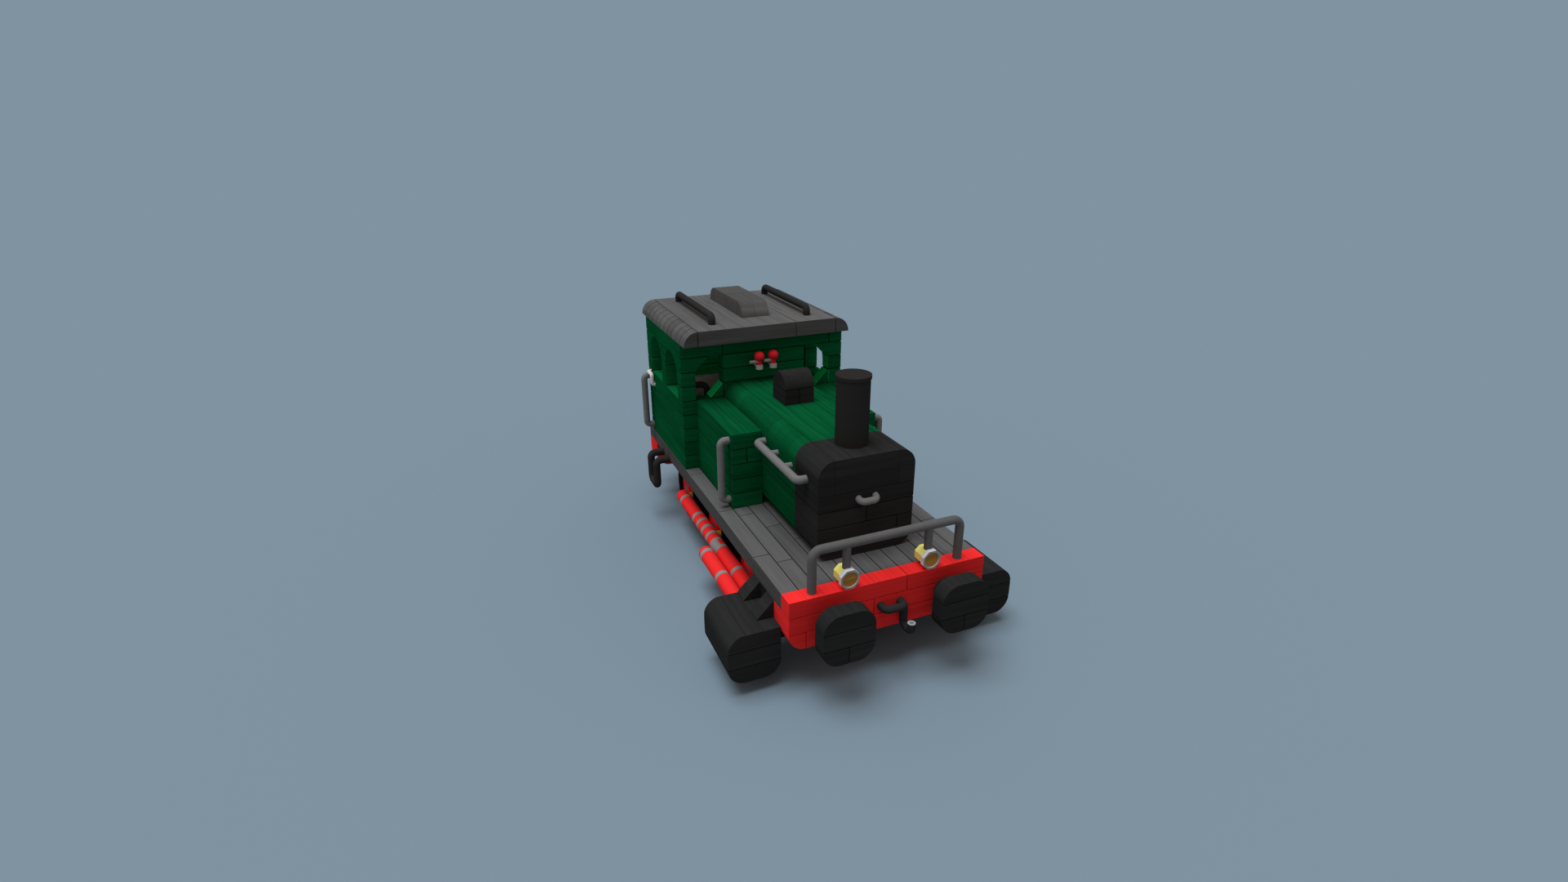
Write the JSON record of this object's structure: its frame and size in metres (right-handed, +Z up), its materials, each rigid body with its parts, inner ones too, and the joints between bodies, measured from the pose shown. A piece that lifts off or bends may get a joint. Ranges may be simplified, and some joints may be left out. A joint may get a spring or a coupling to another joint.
{
  "type": "toy tank locomotive",
  "caption": "Small side-tank steam locomotive toy in smooth bricks: green boiler, tanks and open cab, black smokebox, red beams, coupled wheels with turning rods and sliding piston rods.",
  "frame": {"origin": "on the surface that the wheels stand on, under the middle of the locomotive", "axes": "+X forward to the chimney end, +Y to the locomotive's left, +Z up"},
  "size_m": [0.256, 0.144, 0.1348],
  "materials": {
    "grey_brick": "satin",
    "red_plastic": "gloss",
    "black_plastic": "satin",
    "green_brick": "satin",
    "light_grey_plastic": "satin",
    "dark_grey_plastic": "satin",
    "yellow_plastic": "gloss",
    "chrome_trim": "polished",
    "amber_lens": "gloss",
    "black_tyre": "matte",
    "gold_pin": "satin",
    "steel": "brushed"
  },
  "bodies": {
    "chassis": {"boiler": "green_brick", "boiler_handrails": "light_grey_plastic", "cab_front_wall": "green_brick", "cab_handrails": "light_grey_plastic", "cab_left_wall": "green_brick", "cab_rear_wall": "green_brick", "cab_right_wall": "green_brick", "cab_steps": "black_plastic", "chimney": "black_plastic", "cylinder_brackets": "black_plastic", "cylinders": "black_plastic", "dome": "black_plastic", "driver_seat": "dark_grey_plastic", "footplate": "grey_brick", "frame_plate_left": "black_plastic", "frame_plate_right": "black_plastic", "frame_stretchers": "black_plastic", "front_buffer_beam": "red_plastic", "front_buffers": "black_plastic", "front_coupling": "black_plastic", "guard_rail": "grey_brick", "lamp_bodies": "yellow_plastic", "lamp_lenses": "amber_lens", "lamp_rims": "chrome_trim", "rear_buffer_beam": "red_plastic", "rear_buffers": "black_plastic", "rear_coupling": "black_plastic", "regulator_pipe": "black_plastic", "roof": "grey_brick", "roof_rails": "dark_grey_plastic", "roof_vent": "grey_brick", "side_tanks": "green_brick", "smokebox": "black_plastic", "smokebox_handle": "light_grey_plastic", "tank_handrails": "light_grey_plastic", "whistle_knobs": "red_plastic", "whistles": "light_grey_plastic"},
    "front_wheelset": {"front_axle": "steel", "front_wheel_centres": "red_plastic", "front_tyres": "black_tyre", "front_crank_pins": "gold_pin"},
    "middle_wheelset": {"middle_axle": "steel", "middle_wheel_centres": "red_plastic", "middle_tyres": "black_tyre", "middle_crank_pins": "gold_pin"},
    "rear_wheelset": {"rear_axle": "steel", "rear_wheel_centres": "red_plastic", "rear_tyres": "black_tyre", "rear_crank_pins": "gold_pin"},
    "coupling_rod_left": {"coupling_rod_left": "red_plastic"},
    "coupling_rod_right": {"coupling_rod_right": "red_plastic"},
    "main_rod_left": {"main_rod_left": "red_plastic", "piston_rod_left": "steel"},
    "main_rod_right": {"main_rod_right": "red_plastic", "piston_rod_right": "steel"}
  },
  "joints": [
    {"name": "middle_axle_turn", "type": "hinge", "parent": "chassis", "child": "middle_wheelset", "pos_m": [-0.012, 0, 0.0188], "axis": [0, 1, 0], "continuous": true},
    {"name": "front_axle_turn", "type": "hinge", "parent": "chassis", "child": "front_wheelset", "pos_m": [0.04, 0, 0.0188], "axis": [0, 1, 0], "continuous": true},
    {"name": "rear_axle_turn", "type": "hinge", "parent": "chassis", "child": "rear_wheelset", "pos_m": [-0.064, 0, 0.0188], "axis": [0, 1, 0], "continuous": true},
    {"name": "coupling_rod_left_turn", "type": "hinge", "parent": "middle_wheelset", "child": "coupling_rod_left", "pos_m": [-0.002, 0.0438, 0.0188], "axis": [0, 1, 0], "continuous": true},
    {"name": "coupling_rod_right_turn", "type": "hinge", "parent": "middle_wheelset", "child": "coupling_rod_right", "pos_m": [-0.002, -0.0438, 0.0188], "axis": [0, 1, 0], "continuous": true},
    {"name": "main_rod_left_slide", "type": "slide", "parent": "chassis", "child": "main_rod_left", "axis": [1, 0, 0], "range_m": [-0.02, 0]},
    {"name": "main_rod_right_slide", "type": "slide", "parent": "chassis", "child": "main_rod_right", "axis": [1, 0, 0], "range_m": [-0.02, 0]}
  ],
  "couplings": [
    {"joint": "front_axle_turn", "follows": "middle_axle_turn", "ratio": 1},
    {"joint": "rear_axle_turn", "follows": "middle_axle_turn", "ratio": 1},
    {"joint": "coupling_rod_left_turn", "follows": "middle_axle_turn", "ratio": -1},
    {"joint": "coupling_rod_right_turn", "follows": "middle_axle_turn", "ratio": -1}
  ]
}
